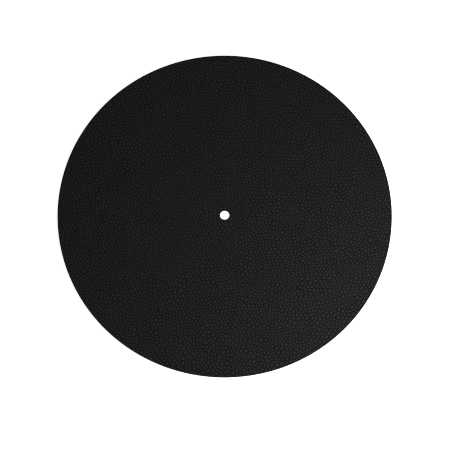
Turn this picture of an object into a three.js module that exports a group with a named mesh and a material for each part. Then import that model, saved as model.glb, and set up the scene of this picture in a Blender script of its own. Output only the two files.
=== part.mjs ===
// Leather turntable mat: one disc of pebbled cowhide, cut with a steel knife, with a punched
// hole that drops over the record spindle. It is a single piece with nothing bonded to it.
//
// Millimetres, +Z up. The origin is the middle of the flesh side, which lies on the platter.
// The record lies on the grain side, the flat at LEATHER_THICKNESS, which is the level of
// the tops of the grain.

import * as THREE from "three";

// Driving dimensions
const MAT_DIAMETER = 300; // as wide as a twelve-inch record
const LEATHER_THICKNESS = 2; // from the flesh side to the tops of the grain
const SPINDLE_DIAMETER = 7.2; // the pin of a record platter
const SPINDLE_CLEARANCE = 0.65; // all round the pin, so that the mat drops on by itself
const GRAIN_EDGE_ROLL = 0.35; // the knife drags the grain down over the edge
const FLESH_EDGE_BREAK = 0.12; // where the knife leaves the back, the edge stays crisp

// How finely the round stretches are divided
const STEPS_AROUND = 144;
const STEPS_PER_CORNER = 2;

const outerRadius = MAT_DIAMETER / 2;
const holeRadius = SPINDLE_DIAMETER / 2 + SPINDLE_CLEARANCE;

// The cut through the leather from the hole to the rim, as distance from the axis and
// height. It runs anticlockwise: both back edges first, then the grain side from rim to hole.
function leatherSection() {
  const quarter = Math.PI / 2;
  const section = new THREE.Path();
  const round = (fromAxis, height, radius, startAngle) =>
    section.absarc(fromAxis, height, radius, startAngle, startAngle + quarter, false);

  const backHeight = FLESH_EDGE_BREAK;
  const grainHeight = LEATHER_THICKNESS - GRAIN_EDGE_ROLL;
  round(holeRadius + FLESH_EDGE_BREAK, backHeight, FLESH_EDGE_BREAK, 2 * quarter);
  round(outerRadius - FLESH_EDGE_BREAK, backHeight, FLESH_EDGE_BREAK, 3 * quarter);
  round(outerRadius - GRAIN_EDGE_ROLL, grainHeight, GRAIN_EDGE_ROLL, 0);
  round(holeRadius + GRAIN_EDGE_ROLL, grainHeight, GRAIN_EDGE_ROLL, quarter);
  section.closePath();
  return section.getPoints(STEPS_PER_CORNER);
}

const blackLeather = new THREE.MeshStandardMaterial({
  name: "grain_leather",
  color: 0x1a1a1a,
  roughness: 0.6,
  metalness: 0,
});

const mat = new THREE.Mesh(new THREE.LatheGeometry(leatherSection(), STEPS_AROUND), blackLeather);
mat.name = "mat";
mat.rotation.x = Math.PI / 2; // the section is turned about Y, and the mat's axis is Z

const turntableMat = new THREE.Group();
turntableMat.name = "turntable_mat";
turntableMat.add(mat);

export default turntableMat;
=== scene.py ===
# %% [markdown]
# # A leather mat for a record player
#
# The mat is one disc of black cowhide, 300 mm across and 2 mm thick, with a hole in the
# middle for the spindle. It lies on the platter with its pebbled side up, and the record
# lies on the pebbles.
#
# Leather like this is tumbled in a drum after tanning. The grain side shrinks and breaks up
# into small cushions with creases between them, and no two are alike. Seen from above, those
# eight thousand cushions are all there is to look at, so most of this lesson is about them.

# %% Load the measured part
import math
import random

import bmesh
import bpy
from mathutils import Matrix, Vector, noise


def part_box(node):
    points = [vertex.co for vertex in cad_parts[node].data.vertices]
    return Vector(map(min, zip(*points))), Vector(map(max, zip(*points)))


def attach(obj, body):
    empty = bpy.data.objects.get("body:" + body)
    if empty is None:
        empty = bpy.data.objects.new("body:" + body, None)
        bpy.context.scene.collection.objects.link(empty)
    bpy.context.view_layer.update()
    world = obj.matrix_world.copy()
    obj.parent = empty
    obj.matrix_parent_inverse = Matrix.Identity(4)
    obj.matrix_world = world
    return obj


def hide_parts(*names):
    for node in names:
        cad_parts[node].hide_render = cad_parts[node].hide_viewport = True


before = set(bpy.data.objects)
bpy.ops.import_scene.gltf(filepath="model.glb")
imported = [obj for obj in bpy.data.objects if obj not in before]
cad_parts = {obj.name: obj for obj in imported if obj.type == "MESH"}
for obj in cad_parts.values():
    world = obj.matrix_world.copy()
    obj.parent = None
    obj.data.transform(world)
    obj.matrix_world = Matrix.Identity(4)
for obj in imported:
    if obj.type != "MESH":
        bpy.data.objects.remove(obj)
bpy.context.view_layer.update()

# %% [markdown]
# ## Sizes
#
# The measured part is a plain disc with the true outline, so the sizes are read from it and
# nothing has to be fitted later. Blender works in metres. Grain is easier to think about in
# millimetres, so a length is written as a number times MM. The hole's radius is the shortest
# distance of any vertex from the axis.

# %% Read the disc's sizes
MM = 0.001
lowest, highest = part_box("mat")
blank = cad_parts["mat"].data
mat_radius = highest.x
leather_thickness = highest.z - lowest.z
hole_radius = min(math.hypot(vertex.co.x, vertex.co.y) for vertex in blank.vertices)
print(
    f"disc {2 * mat_radius / MM:.1f} mm across, {leather_thickness / MM:.2f} mm thick, "
    f"hole {2 * hole_radius / MM:.2f} mm"
)

# %% [markdown]
# ## Where the pebbles sit
#
# The pebbles could be drawn by a Voronoi texture used as bump. That is quick, but bump only
# turns the light: the rim stays flat, the creases cast no shade and nothing is left of them
# in an exported mesh. Here every pebble is real.
#
# Pebbles crowd together the way soap bubbles do, with about six neighbours each. A grid whose
# odd rows are pushed along by half a step has that arrangement. Its rows would show, so a slow
# noise bends them first. Shaking the points then gives the pebbles their different sizes, and
# letting them settle keeps any one from growing too large. Pulling all of it slightly along
# one line makes them longer than wide, since a hide is always stretched more one way than the
# other.
#
# The random numbers and the noise both start from one fixed seed, so the same hide comes
# out each time. Left alone, Blender's noise vectors would take their seed from the clock.

# %% Scatter one point for each pebble
PEBBLE_PITCH = 3.15 * MM
BEND = 3 * MM
BEND_LENGTH = 25 * MM
SHAKE = 0.48 * PEBBLE_PITCH
SETTLING = 0.5
STRETCH = 1.06
STRETCH_ANGLE = math.radians(50)
SCATTER_REACH = 1.12 * mat_radius
SEED = 7
chance = random.Random(SEED)
noise.seed_set(SEED)


def join_nearest(points):
    """Turns edges until the triangles are as even as they can be."""
    inside = [edge for edge in points.edges if not edge.is_boundary]
    bmesh.ops.beautify_fill(points, faces=points.faces, edges=inside, method="AREA")


def settle(net):
    """Moves each vertex part of the way to the middle of its neighbours."""
    free = [vertex for vertex in net.verts if not vertex.is_boundary]
    bmesh.ops.smooth_vert(net, verts=free, factor=SETTLING, use_axis_x=True, use_axis_y=True)


def scatter_points(reach):
    """A triangle mesh with one vertex for each pebble, out to that distance on each side."""
    row_height = PEBBLE_PITCH * math.sqrt(3) / 2
    columns = 2 * math.ceil(reach / PEBBLE_PITCH)
    rows = 2 * math.ceil(reach / row_height)
    half = 0.5  # the grid starts one metre wide, and size counts from its middle
    points = bmesh.new()
    bmesh.ops.create_grid(points, x_segments=columns, y_segments=rows, size=half)
    for point in points.verts:
        row = round((point.co.y + half) * rows)
        point.co.x = point.co.x * columns * PEBBLE_PITCH + row % 2 * PEBBLE_PITCH / 2
        point.co.y = point.co.y * rows * row_height
    bmesh.ops.triangulate(points, faces=points.faces, quad_method="SHORT_EDGE")
    for point in points.verts:
        bend = noise.noise_vector(point.co / BEND_LENGTH) * BEND
        point.co.x += bend.x + chance.uniform(-SHAKE, SHAKE)
        point.co.y += bend.y + chance.uniform(-SHAKE, SHAKE)
    join_nearest(points)
    settle(points)
    join_nearest(points)
    along = Matrix.Rotation(STRETCH_ANGLE, 3, "Z")
    pull = along @ Matrix.Diagonal((STRETCH, 1 / STRETCH, 1)) @ along.transposed()
    bmesh.ops.transform(points, matrix=pull.to_4x4(), verts=points.verts)
    return points


grain = scatter_points(SCATTER_REACH)
print(f"{len(grain.verts)} pebble points, {PEBBLE_PITCH / MM} mm apart")

# %% [markdown]
# ## From points to creases
#
# The creases run halfway between the points. Turning a triangle mesh into that net of cells
# takes three steps. A new vertex goes in the middle of every triangle. Each old edge is
# turned, so that it joins the two new vertices on its sides instead of the two old points.
# Then the old points are dissolved, and each leaves behind one many-sided cell. Settling
# once more evens out the cells' outlines.
#
# The net comes out ragged at its border. Four straight cuts trim it to a square that is still
# wider than the mat.

# %% Turn the triangles into cells
TRIM_REACH = 1.03 * mat_radius


def turn_into_cells(net):
    """Turns the triangles into cells, one round each of their points."""
    old_points = list(net.verts)
    old_edges = [edge for edge in net.edges if not edge.is_boundary]
    bmesh.ops.poke(net, faces=net.faces)
    bmesh.ops.rotate_edges(net, edges=old_edges, use_ccw=False)
    inner_points = [point for point in old_points if not point.is_boundary]
    bmesh.ops.dissolve_verts(net, verts=inner_points)
    settle(net)


def trim_square(net, reach):
    """Cuts the net off straight, at that distance from the middle on all four sides."""
    for side in range(4):
        outward = Matrix.Rotation(side * math.pi / 2, 3, "Z") @ Vector((1, 0, 0))
        bmesh.ops.bisect_plane(
            net, geom=[*net.verts, *net.edges, *net.faces],
            plane_co=outward * reach, plane_no=outward, clear_outer=True,
        )


turn_into_cells(grain)
trim_square(grain, TRIM_REACH)
print(f"{len(grain.faces)} pebbles on a square {2 * TRIM_REACH / MM:.0f} mm wide")

# %% [markdown]
# ## Raise the pebbles
#
# An inset with no thickness lays a second outline exactly on each cell's own. That second
# outline is drawn in towards the middle of the cell and lifted. A sloping flank is left all
# round, and a crease where two flanks meet. A plain inset would draw the outline in by the
# same distance everywhere, and turn the smallest cells inside out.
#
# One more vertex in the middle of the top rounds it off. The depth varies from place to
# place: a crease is deeper at some of its ends than at others, some cushions stand a little
# higher than their neighbours, and in patches of about a centimetre the whole grain is flatter.
# Each cushion also leans its own way, so that under one lamp some are brighter than others.

# %% Raise them
RELIEF = 0.34 * MM
TOP_SHARE = 0.73
CROWN_RISE = 0.08 * MM
CREASE_SPREAD = 0.35
HEIGHT_SPREAD = 0.30
PATCH_SPREAD = 0.18
PATCH_SIZE = 9 * MM
LEAN = 0.10 * MM


def raise_pebbles(net):
    """Lifts the top of every cell, and leaves a flank all round it."""
    for junction in net.verts:
        junction.co.z = -RELIEF * chance.uniform(0, CREASE_SPREAD)
    pebbles = list(net.faces)
    bmesh.ops.inset_individual(net, faces=pebbles, thickness=0, depth=0)
    for pebble in pebbles:
        middle = pebble.calc_center_median()
        patch = PATCH_SPREAD * noise.noise(middle / PATCH_SIZE)
        lift = RELIEF * (chance.uniform(1 - HEIGHT_SPREAD, 1) + patch)
        lean = Vector((chance.uniform(-LEAN, LEAN), chance.uniform(-LEAN, LEAN), 0))
        for corner in pebble.verts:
            outward = (corner.co - middle).normalized()
            corner.co = middle.lerp(corner.co, TOP_SHARE)
            corner.co.z = lift + lean.dot(outward)
    bmesh.ops.poke(net, faces=pebbles, offset=CROWN_RISE)


raise_pebbles(grain)
print(f"relief {RELIEF / MM:.2f} mm, {len(grain.faces)} faces")

# %% [markdown]
# ## Give the hide its thickness
#
# The net of pebbles is still a skin without a back. Its free edge is drawn straight down and
# closed with one large face, which makes a block of leather that is a little too wide and too
# thick. The highest pebble is set just under the finished top.

# %% Close the skin into a block
SPARE_LEATHER = 1 * MM
CLEAR_OF_TOP = 0.01 * MM


def close_into_block(skin):
    """Gives the skin sides and a back, and returns the height of its shallowest creases."""
    crown = max(vertex.co.z for vertex in skin.verts)
    lift = leather_thickness - CLEAR_OF_TOP - crown
    bmesh.ops.translate(skin, vec=(0, 0, lift), verts=skin.verts)
    border = [edge for edge in skin.edges if edge.is_boundary]
    wall = bmesh.ops.extrude_edge_only(skin, edges=border)["geom"]
    for vertex in (part for part in wall if isinstance(part, bmesh.types.BMVert)):
        vertex.co.z = -SPARE_LEATHER
    foot = [edge for edge in skin.edges if edge.is_boundary]
    bmesh.ops.edgeloop_fill(skin, edges=foot)
    bmesh.ops.recalc_face_normals(skin, faces=skin.faces)
    return lift


def open_edges(shape):
    """How many edges don't have exactly one face on each side."""
    return sum(not edge.is_manifold for edge in shape.edges)


crease_level = close_into_block(grain)
print(f"creases at {crease_level / MM:.2f} mm and below, {open_edges(grain)} open edges")

# %% [markdown]
# ## The knife
#
# A mat is punched: a round steel knife is pressed through the hide from the grain side. The
# press drags the grain down a little over the edge, and the back stays crisp. The shape that
# the knife leaves is easy to describe as a turned solid. It starts as a rectangle from the
# hole to the rim. Its corners are bevelled, wide at the top and narrow at the bottom, and its
# outline is spun once round.

# %% Turn the punched shape
GRAIN_EDGE_ROLL = 0.5 * MM
FLESH_EDGE_BREAK = 0.12 * MM
CORNER_STEPS = 3
STEPS_AROUND = 288


def turn_punched_shape():
    """The shape that the knife leaves: a turned disc with a hole, and no grain."""
    punched = bmesh.new()
    section = [
        punched.verts.new((across, 0, up))
        for across, up in (
            (hole_radius, 0),
            (mat_radius, 0),
            (mat_radius, leather_thickness),
            (hole_radius, leather_thickness),
        )
    ]
    punched.faces.new(section)
    flesh_corners, grain_corners = section[:2], section[2:]
    for corners, width in (
        (grain_corners, GRAIN_EDGE_ROLL),
        (flesh_corners, FLESH_EDGE_BREAK),
    ):
        bmesh.ops.bevel(
            punched, geom=corners, offset=width, offset_type="OFFSET", affect="VERTICES",
            segments=CORNER_STEPS, profile=0.5, material=-1,
        )
    bmesh.ops.delete(punched, geom=list(punched.faces), context="FACES_ONLY")
    bmesh.ops.spin(
        punched, geom=list(punched.edges), cent=(0, 0, 0), axis=(0, 0, 1),
        angle=2 * math.pi, steps=STEPS_AROUND, use_merge=True,
    )
    bmesh.ops.recalc_face_normals(punched, faces=punched.faces)
    return punched


knife = turn_punched_shape()
print(f"punched shape: {len(knife.faces)} faces, {open_edges(knife)} open edges")

# %% [markdown]
# ## Colours and nodes
#
# Colours are written the way a painter's chart gives them, as sRGB hex values. Shaders work
# with linear light, so one function turns the one into the other. Another adds a node, sets
# it up and links it, which keeps each material short enough to read. An input is named, or
# numbered where a node gives several of them the same name.
#
# A noise texture runs from 0 to 1 on paper, but it seldom leaves the stretch between 0.3 and
# 0.7. Materials that want its full swing start from those two values.

# %% Three small helpers
NOISE_LOW, NOISE_HIGH = 0.3, 0.7


def linear(hex_colour):
    """An sRGB colour such as #1c1c1c as linear light, with an alpha of 1."""
    light = []
    for start in (1, 3, 5):
        level = int(hex_colour[start:start + 2], 16) / 255
        light.append(level / 12.92 if level <= 0.04045 else ((level + 0.055) / 1.055) ** 2.4)
    return [*light, 1]


def add(tree, kind, inputs=None, output=None, **settings):
    """Adds a node with its settings, fills or links its inputs, and returns an output."""
    new = tree.nodes.new("ShaderNode" + kind)
    for name, value in settings.items():
        setattr(new, name, value)
    usable = [socket for socket in new.inputs if socket.enabled]
    named = {socket.name: socket for socket in reversed(usable)}
    for key, value in (inputs or {}).items():
        socket = usable[key] if isinstance(key, int) else named[key]
        if isinstance(value, bpy.types.NodeSocket):
            tree.links.new(value, socket)
        else:
            socket.default_value = value
    for socket in new.outputs:
        if socket.enabled and output in (None, socket.name):
            return socket
    return None


def empty_material(name):
    """A new material with no nodes in it yet."""
    material = bpy.data.materials.new(name)
    material.use_nodes = True
    material.node_tree.nodes.clear()
    return material


print(f"#808080 looks half way up but is {linear('#808080')[0]:.2f} in linear light")

# %% [markdown]
# ## Grain side: milled cowhide with a satin finish
#
# The hide is dyed black and sprayed with a thin acrylic finish. Handling polishes that finish
# on the tops of the pebbles, while in the creases it stays thick and dull. The creases are also
# painted a darker black than the tops: that is painted shade, for the shade that falls into
# them. That is what the eye reads as leather: soft black cushions with a low sheen, each in a
# matt outline. The height of the surface itself tells a top from a crease, so the material and
# the mesh cannot drift apart. The change runs up the flank, from just below the shallowest
# creases to near the tops.
#
# Pebbles are not smooth either. Shallow wrinkles a millimetre or two apart cross them, and
# hair follicles leave pinpricks. Both are too slight to model, so they are bump. The dye also
# takes unevenly, in clouds a few centimetres across.

# %% Grain side
# The crease black is painted shade: darker than the tops because shade falls into the creases.
CREASE_PAINTED_SHADE = "#0c0c0c"
CROWN_BLACK = "#181818"
CREASE_ROUGHNESS = 0.78
CROWN_ROUGHNESS = 0.64
CREASE_SPECULAR = 0.12
CROWN_SPECULAR = 0.27
FLANK_START = -0.05
FLANK_END = 0.85
WRINKLE_SPACING = 1.8 * MM
WRINKLE_DEPTH = 0.14 * MM
PORE_SPACING = 0.35 * MM
PORE_DEPTH = 0.02 * MM
DYE_CLOUD = 35 * MM
DYE_DETAIL = 3
DYE_SPREAD = 0.09


def milled_cowhide():
    """Soft black leather: satin cushions, dull creases painted darker as shade, no shine as
    from plastic.
    """
    material = empty_material("milled_cowhide")
    tree = material.node_tree
    place = add(tree, "TexCoord", output="Object")
    height = add(tree, "SeparateXYZ", {"Vector": place}, output="Z")
    crown = add(tree, "MapRange", {
        "Value": height,
        "From Min": crease_level + FLANK_START * RELIEF,
        "From Max": crease_level + FLANK_END * RELIEF,
    }, interpolation_type="SMOOTHSTEP")
    # Painted shade: the creases get the darker black, the tops the leather's own black.
    black_with_painted_crease_shade = add(tree, "Mix", {
        "Factor": crown, "A": linear(CREASE_PAINTED_SHADE), "B": linear(CROWN_BLACK),
    }, data_type="RGBA")
    cloud = add(tree, "TexNoise", {
        "Vector": place, "Scale": 1 / DYE_CLOUD, "Detail": DYE_DETAIL,
    })
    uptake = add(tree, "MapRange", {
        "Value": cloud, "From Min": NOISE_LOW, "From Max": NOISE_HIGH,
        "To Min": 1 - DYE_SPREAD, "To Max": 1 + DYE_SPREAD,
    })
    black = add(tree, "Mix", {
        "Factor": 1, "A": black_with_painted_crease_shade, "B": uptake,
    }, data_type="RGBA", blend_type="MULTIPLY")
    roughness = add(tree, "MapRange", {
        "Value": crown, "To Min": CREASE_ROUGHNESS, "To Max": CROWN_ROUGHNESS,
    })
    specular = add(tree, "MapRange", {
        "Value": crown, "To Min": CREASE_SPECULAR, "To Max": CROWN_SPECULAR,
    })
    wrinkle = add(tree, "TexVoronoi", {
        "Vector": place, "Scale": 1 / WRINKLE_SPACING,
    }, feature="DISTANCE_TO_EDGE")
    wrinkled = add(tree, "Bump", {"Distance": WRINKLE_DEPTH, "Height": wrinkle})
    pore = add(tree, "TexVoronoi", {
        "Vector": place, "Scale": 1 / PORE_SPACING,
    }, feature="SMOOTH_F1")
    pored = add(tree, "Bump", {"Distance": PORE_DEPTH, "Height": pore, "Normal": wrinkled})
    leather = add(tree, "BsdfPrincipled", {
        "Base Color": black, "Roughness": roughness, "Specular IOR Level": specular,
        "Normal": pored,
    })
    add(tree, "OutputMaterial", {"Surface": leather})
    return material


cowhide = milled_cowhide()
print(f"{cowhide.name}: {len(cowhide.node_tree.nodes)} nodes")

# %% [markdown]
# ## Cut edge: a section through the hide
#
# The knife opens a section through the hide. It shows fibres that lie in thin layers, dyed
# through but without the finish, so the wall is dull and streaked along its length. A noise
# texture squeezed in height and drawn out along the wall gives those layers.

# %% Cut edge
EDGE_BLACK = "#131212"
EDGE_ROUGHNESS = 0.75
EDGE_SPECULAR = 0.25
LAYER_HEIGHT = 0.18 * MM
FIBRE_LENGTH = 1.5 * MM
FIBRE_DETAIL = 4
FRAY_DEPTH = 0.06 * MM
LAYER_SPREAD = 0.3


def cut_edge():
    """The dull, layered wall that the knife leaves."""
    material = empty_material("cut_leather_edge")
    tree = material.node_tree
    place = add(tree, "TexCoord", output="Object")
    layered = add(tree, "Mapping", {
        "Vector": place, "Scale": (1 / FIBRE_LENGTH, 1 / FIBRE_LENGTH, 1 / LAYER_HEIGHT),
    })
    fibre = add(tree, "TexNoise", {"Vector": layered, "Scale": 1, "Detail": FIBRE_DETAIL})
    shade = add(tree, "MapRange", {
        "Value": fibre, "From Min": NOISE_LOW, "From Max": NOISE_HIGH,
        "To Min": 1 - LAYER_SPREAD, "To Max": 1 + LAYER_SPREAD,
    })
    black = add(tree, "Mix", {
        "Factor": 1, "A": linear(EDGE_BLACK), "B": shade,
    }, data_type="RGBA", blend_type="MULTIPLY")
    frayed = add(tree, "Bump", {"Distance": FRAY_DEPTH, "Height": fibre})
    wall = add(tree, "BsdfPrincipled", {
        "Base Color": black, "Roughness": EDGE_ROUGHNESS,
        "Specular IOR Level": EDGE_SPECULAR, "Normal": frayed,
    })
    add(tree, "OutputMaterial", {"Surface": wall})
    return material


edge_leather = cut_edge()
print(f"{edge_leather.name}: {len(edge_leather.node_tree.nodes)} nodes")

# %% [markdown]
# ## Flesh side: buffed to a short nap
#
# The back of the mat is the flesh side, buffed like suede so that it grips the platter. A nap
# is thousands of fibre tips that catch light from the side, and the Principled shader has a
# sheen for that. Where the nap leans another way it looks lighter or darker, in patches.

# %% Flesh side
NAP_DARK = "#161514"
NAP_LIGHT = "#262423"
NAP_ROUGHNESS = 0.9
NAP_SPECULAR = 0.2
NAP_SHEEN = 0.3
NAP_SHEEN_ROUGHNESS = 0.5
NAP_GRAIN = 0.3 * MM
NAP_DETAIL = 2
NAP_DEPTH = 0.1 * MM
NAP_PATCH = 18 * MM
NAP_PATCH_DETAIL = 3
NAP_PATCH_LOW, NAP_PATCH_HIGH = 0.35, 0.65


def buffed_flesh():
    """The suede-like back: no gloss, a soft glow at low angles."""
    material = empty_material("buffed_flesh_side")
    tree = material.node_tree
    place = add(tree, "TexCoord", output="Object")
    patch = add(tree, "TexNoise", {
        "Vector": place, "Scale": 1 / NAP_PATCH, "Detail": NAP_PATCH_DETAIL,
    })
    leaning = add(tree, "MapRange", {
        "Value": patch, "From Min": NAP_PATCH_LOW, "From Max": NAP_PATCH_HIGH,
    })
    colour = add(tree, "Mix", {
        "Factor": leaning, "A": linear(NAP_DARK), "B": linear(NAP_LIGHT),
    }, data_type="RGBA")
    fibre_tips = add(tree, "TexNoise", {
        "Vector": place, "Scale": 1 / NAP_GRAIN, "Detail": NAP_DETAIL,
    })
    brushed = add(tree, "Bump", {"Distance": NAP_DEPTH, "Height": fibre_tips})
    suede = add(tree, "BsdfPrincipled", {
        "Base Color": colour, "Roughness": NAP_ROUGHNESS, "Specular IOR Level": NAP_SPECULAR,
        "Sheen Weight": NAP_SHEEN, "Sheen Roughness": NAP_SHEEN_ROUGHNESS, "Normal": brushed,
    })
    add(tree, "OutputMaterial", {"Surface": suede})
    return material


flesh_leather = buffed_flesh()
print(f"{flesh_leather.name}: {len(flesh_leather.node_tree.nodes)} nodes")

# %% [markdown]
# ## Punch the mat
#
# A Boolean modifier set to Intersect keeps what lies in both shapes, which is just what the
# knife does. The Manifold solver is the quick one, and it needs both shapes closed, which the
# counts of open edges above have shown. Faces that come from the turned shape bring their
# material along, so the wall and the back are told apart before the cut, by where each face
# lies.

# %% Punch it
GRAIN, EDGE, FLESH = range(3)
MATERIALS = (cowhide, edge_leather, flesh_leather)
LEVEL = 0.999


def as_object(shape, name):
    """A bmesh as an object with the three leather materials."""
    mesh = bpy.data.meshes.new(name)
    shape.to_mesh(mesh)
    shape.free()
    for material in MATERIALS:
        mesh.materials.append(material)
    made = bpy.data.objects.new(name, mesh)
    bpy.context.scene.collection.objects.link(made)
    return made


def punch(block, cutter):
    """What lies in both shapes, as one new mesh."""
    cut = block.modifiers.new("punch", "BOOLEAN")
    cut.operation = "INTERSECT"
    cut.solver = "MANIFOLD"
    cut.object = cutter
    bpy.context.view_layer.update()
    evaluated = block.evaluated_get(bpy.context.evaluated_depsgraph_get())
    return bpy.data.meshes.new_from_object(evaluated)


for face in knife.faces:
    lies_flat = abs(face.normal.z) > LEVEL
    below = face.calc_center_median().z < leather_thickness / 2
    face.material_index = FLESH if lies_flat and below else EDGE
leather_block = as_object(grain, "leather_block")
punched_shape = as_object(knife, "punched_shape")
mat_mesh = punch(leather_block, punched_shape)
for spent in (leather_block, punched_shape):
    bpy.data.objects.remove(spent)
print(f"cut out: {len(mat_mesh.polygons)} faces")

# %% [markdown]
# ## Clean up and shade
#
# The cut leaves slivers where it met a vertex almost exactly. They are merged away. Then all
# faces are shaded smooth. Only the edges where the wall meets the grain or the back stay
# sharp, as the knife leaves them, and those are the edges between two materials.

# %% Clean up and shade
SLIVER = 0.004 * MM


def clean_and_shade(shape):
    """Merges slivers away, and shades smooth all but the edges between materials."""
    bmesh.ops.remove_doubles(shape, verts=shape.verts, dist=SLIVER)
    bmesh.ops.dissolve_degenerate(shape, edges=shape.edges, dist=SLIVER)
    for face in shape.faces:
        face.smooth = True
    for edge in shape.edges:
        edge.smooth = len({face.material_index for face in edge.link_faces}) == 1


mat_shape = bmesh.new()
mat_shape.from_mesh(mat_mesh)
clean_and_shade(mat_shape)
triangles = sum(len(face.verts) - 2 for face in mat_shape.faces)
print(f"{triangles} triangles, {open_edges(mat_shape)} open edges")

# %% [markdown]
# ## Lay the surface out flat
#
# An exported model carries its look in pictures, and a picture needs to know where on it each
# face lies. Blender can work that out alone, by cutting the surface apart wherever it bends,
# but it would cut eight thousand steep little cushions into crumbs. A mat is simple enough to
# lay out. The grain side is a large disc seen from above, the flesh side a small one,
# and the two cut walls are strips along the bottom, unrolled round the axis. The layout is
# named OFBake.

# %% Lay it out
GRAIN_DISC = (0.38, 0.62, 0.37)
FLESH_DISC = (0.85, 0.37, 0.14)
RIM_STRIP = (0.12, 0.20)
HOLE_STRIP = (0.02, 0.10)
STRIP_MARGIN = 0.02


def on_disc(point, disc):
    """A place on a disc of the layout, given as its centre and radius."""
    across, up, radius = disc
    scale = radius / mat_radius
    return across + point.x * scale, up + point.y * scale


def on_strip(point, face_middle):
    """A place on an unrolled wall: the angle runs along it, and the way up it runs across."""
    outside = math.hypot(face_middle.x, face_middle.y) > mat_radius / 2
    wall_radius, (low, high) = (mat_radius, RIM_STRIP) if outside else (hole_radius, HOLE_STRIP)
    turns = math.atan2(point.y, point.x) / (2 * math.pi)
    face_turns = math.atan2(face_middle.y, face_middle.x) / (2 * math.pi)
    turns -= round(turns - face_turns)
    off_wall = abs(math.hypot(point.x, point.y) - wall_radius)
    upper = point.z > leather_thickness / 2
    walked = FLESH_EDGE_BREAK + point.z + (off_wall if upper else -off_wall)
    share = walked / (FLESH_EDGE_BREAK + leather_thickness + GRAIN_EDGE_ROLL)
    along = STRIP_MARGIN + (1 - 2 * STRIP_MARGIN) * (turns + 0.5)
    return along, low + share * (high - low)


def lay_out(shape):
    """Gives every corner of every face its place on the layout."""
    layout = shape.loops.layers.uv.new("OFBake")
    for face in shape.faces:
        middle = face.calc_center_median()
        for corner in face.loops:
            point = corner.vert.co
            if face.material_index == EDGE:
                corner[layout].uv = on_strip(point, middle)
            else:
                disc = GRAIN_DISC if face.material_index == GRAIN else FLESH_DISC
                corner[layout].uv = on_disc(point, disc)


lay_out(mat_shape)
mat_shape.to_mesh(mat_mesh)
mat_shape.free()
mat_mesh.name = "leather_mat"
leather_mat = bpy.data.objects.new("leather_mat", mat_mesh)
bpy.context.scene.collection.objects.link(leather_mat)
print(f"{leather_mat.name}: layout {mat_mesh.uv_layers.active.name}")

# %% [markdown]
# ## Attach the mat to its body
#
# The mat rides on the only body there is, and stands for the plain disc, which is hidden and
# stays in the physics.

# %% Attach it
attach(leather_mat, "root")
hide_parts("mat")

# %% [markdown]
# ## The white table
#
# The mat is photographed on white, with nothing else in sight. A large round floor with a
# low wall stands in for that. It is plain matt paper, so it takes the mat's soft shadow.
# Paper lit at the level that suits black leather would look grey, so it also glows, but only
# for rays that come from the camera or from something glossy or clear. So the glow adds no
# diffuse light to the mat. The table lies a hair below the mat, because two faces in one and
# the same plane flicker.

# %% White table
PAPER_WHITE = "#f0f0f0"
PAPER_GLOW = 0.8
TABLE_RADIUS = 14
WALL_HEIGHT = 3
TABLE_STEPS = 96
HAIR = 0.02 * MM
WELD = 1 * MM


def studio_white():
    """Matt white paper that looks fully white, yet hardly lights what lies on it."""
    material = empty_material("studio_white")
    tree = material.node_tree
    paper = add(tree, "BsdfDiffuse", {"Color": linear(PAPER_WHITE)})
    ray = add(tree, "LightPath").node.outputs
    seen = add(tree, "Math", {
        0: ray["Is Camera Ray"], 1: ray["Is Glossy Ray"],
    }, operation="MAXIMUM")
    seen = add(tree, "Math", {0: seen, 1: ray["Is Transmission Ray"]}, operation="MAXIMUM")
    strength = add(tree, "Math", {0: seen, 1: PAPER_GLOW}, operation="MULTIPLY")
    glow = add(tree, "Emission", {"Strength": strength})
    both = add(tree, "AddShader", {0: paper, 1: glow})
    add(tree, "OutputMaterial", {"Surface": both})
    return material


def turn_table():
    """A round floor with a wall, turned from a line across and a line up."""
    table = bmesh.new()
    middle = table.verts.new((0, 0, -HAIR))
    foot = table.verts.new((TABLE_RADIUS, 0, -HAIR))
    top = table.verts.new((TABLE_RADIUS, 0, WALL_HEIGHT))
    table.edges.new((middle, foot))
    table.edges.new((foot, top))
    bmesh.ops.spin(
        table, geom=list(table.edges), cent=(0, 0, 0), axis=(0, 0, 1),
        angle=2 * math.pi, steps=TABLE_STEPS, use_merge=True,
    )
    bmesh.ops.remove_doubles(table, verts=table.verts, dist=WELD)
    bmesh.ops.recalc_face_normals(table, faces=table.faces)
    return table


table_shape = turn_table()
table_mesh = bpy.data.meshes.new("floor")
table_shape.to_mesh(table_mesh)
table_shape.free()
table_mesh.materials.append(studio_white())
floor = bpy.data.objects.new("floor", table_mesh)
bpy.context.scene.collection.objects.link(floor)
print(f"white table {2 * TABLE_RADIUS} m across")

# %% [markdown]
# ## Light
#
# Two kinds of light are at work on the mat. A weak, even light from the whole room keeps the
# creases from going fully black. One round lamp hangs close by, beyond the right front edge.
# Being close, it lights the near side more than three times as strongly as the far one. Its
# light comes in at a slant, and so brightens one flank of each pebble and leaves the other
# in shade.

# %% Light
ROOM_STRENGTH = 0.235
LAMP_PLACE = (0.32, -0.19, 0.34)
LAMP_SIZE = 0.2
LAMP_WATTS = 1.75

room = bpy.data.worlds.new("room")
room.use_nodes = True
background = room.node_tree.nodes["Background"]
background.inputs["Color"].default_value = (1, 1, 1, 1)
background.inputs["Strength"].default_value = ROOM_STRENGTH
bpy.context.scene.world = room

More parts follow.
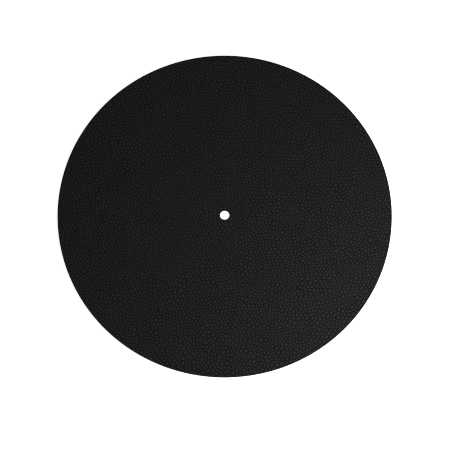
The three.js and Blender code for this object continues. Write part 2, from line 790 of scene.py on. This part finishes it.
lamp_data = bpy.data.lights.new("side_lamp", "AREA")
lamp_data.shape = "DISK"
lamp_data.size = LAMP_SIZE
lamp_data.energy = LAMP_WATTS
side_lamp = bpy.data.objects.new("side_lamp", lamp_data)
side_lamp.location = LAMP_PLACE
side_lamp.rotation_euler = Vector(LAMP_PLACE).to_track_quat("Z", "Y").to_euler()
side_lamp.visible_camera = False
bpy.context.scene.collection.objects.link(side_lamp)
print(f"lamp {side_lamp.location.length:.2f} m from the middle of the mat")

# %% [markdown]
# ## Camera
#
# The mat is seen from nearly above. A circle seen at an angle becomes an ellipse, and how far
# that ellipse is from round gives the camera's tilt. Its width in pixels gives the scale.
# The camera stands far off with a long lens, so the far side is hardly smaller than the near
# one. Each pixel gathers light from slightly more than its own width, as a sharp lens does.

# %% Camera
PICTURE_SIDE = 450
OUTLINE_WIDTH = 334.5
MAT_CENTRE = (224.69, 214.88)
TILT = math.radians(15.9)
CAMERA_DISTANCE = 4.77
SENSOR = 36
CLIP_END = 100
PIXEL_WIDTH = 1.1


def aim_camera():
    """A camera that sees the mat at the tilt, size and place named above."""
    metres_per_pixel = 2 * mat_radius / OUTLINE_WIDTH
    data = bpy.data.cameras.new("camera")
    data.sensor_width = SENSOR
    data.lens = SENSOR * CAMERA_DISTANCE / (metres_per_pixel * PICTURE_SIDE)
    data.clip_end = CLIP_END
    made = bpy.data.objects.new("camera", data)
    bpy.context.scene.collection.objects.link(made)
    towards = Vector((0, -math.sin(TILT), math.cos(TILT)))
    picture_up = Vector((0, math.cos(TILT), math.sin(TILT)))
    left_of_middle = (PICTURE_SIDE / 2 - MAT_CENTRE[0]) * metres_per_pixel
    above_middle = (PICTURE_SIDE / 2 - MAT_CENTRE[1]) * metres_per_pixel
    aim = Vector((left_of_middle, 0, leather_thickness)) - picture_up * above_middle
    made.location = aim + towards * CAMERA_DISTANCE
    made.rotation_euler = towards.to_track_quat("Z", "Y").to_euler()
    return made


camera = aim_camera()
scene = bpy.context.scene
scene.camera = camera
scene.view_settings.view_transform = "Standard"
scene.cycles.filter_width = PIXEL_WIDTH
print(f"lens {camera.data.lens:.0f} mm, {CAMERA_DISTANCE} m away")
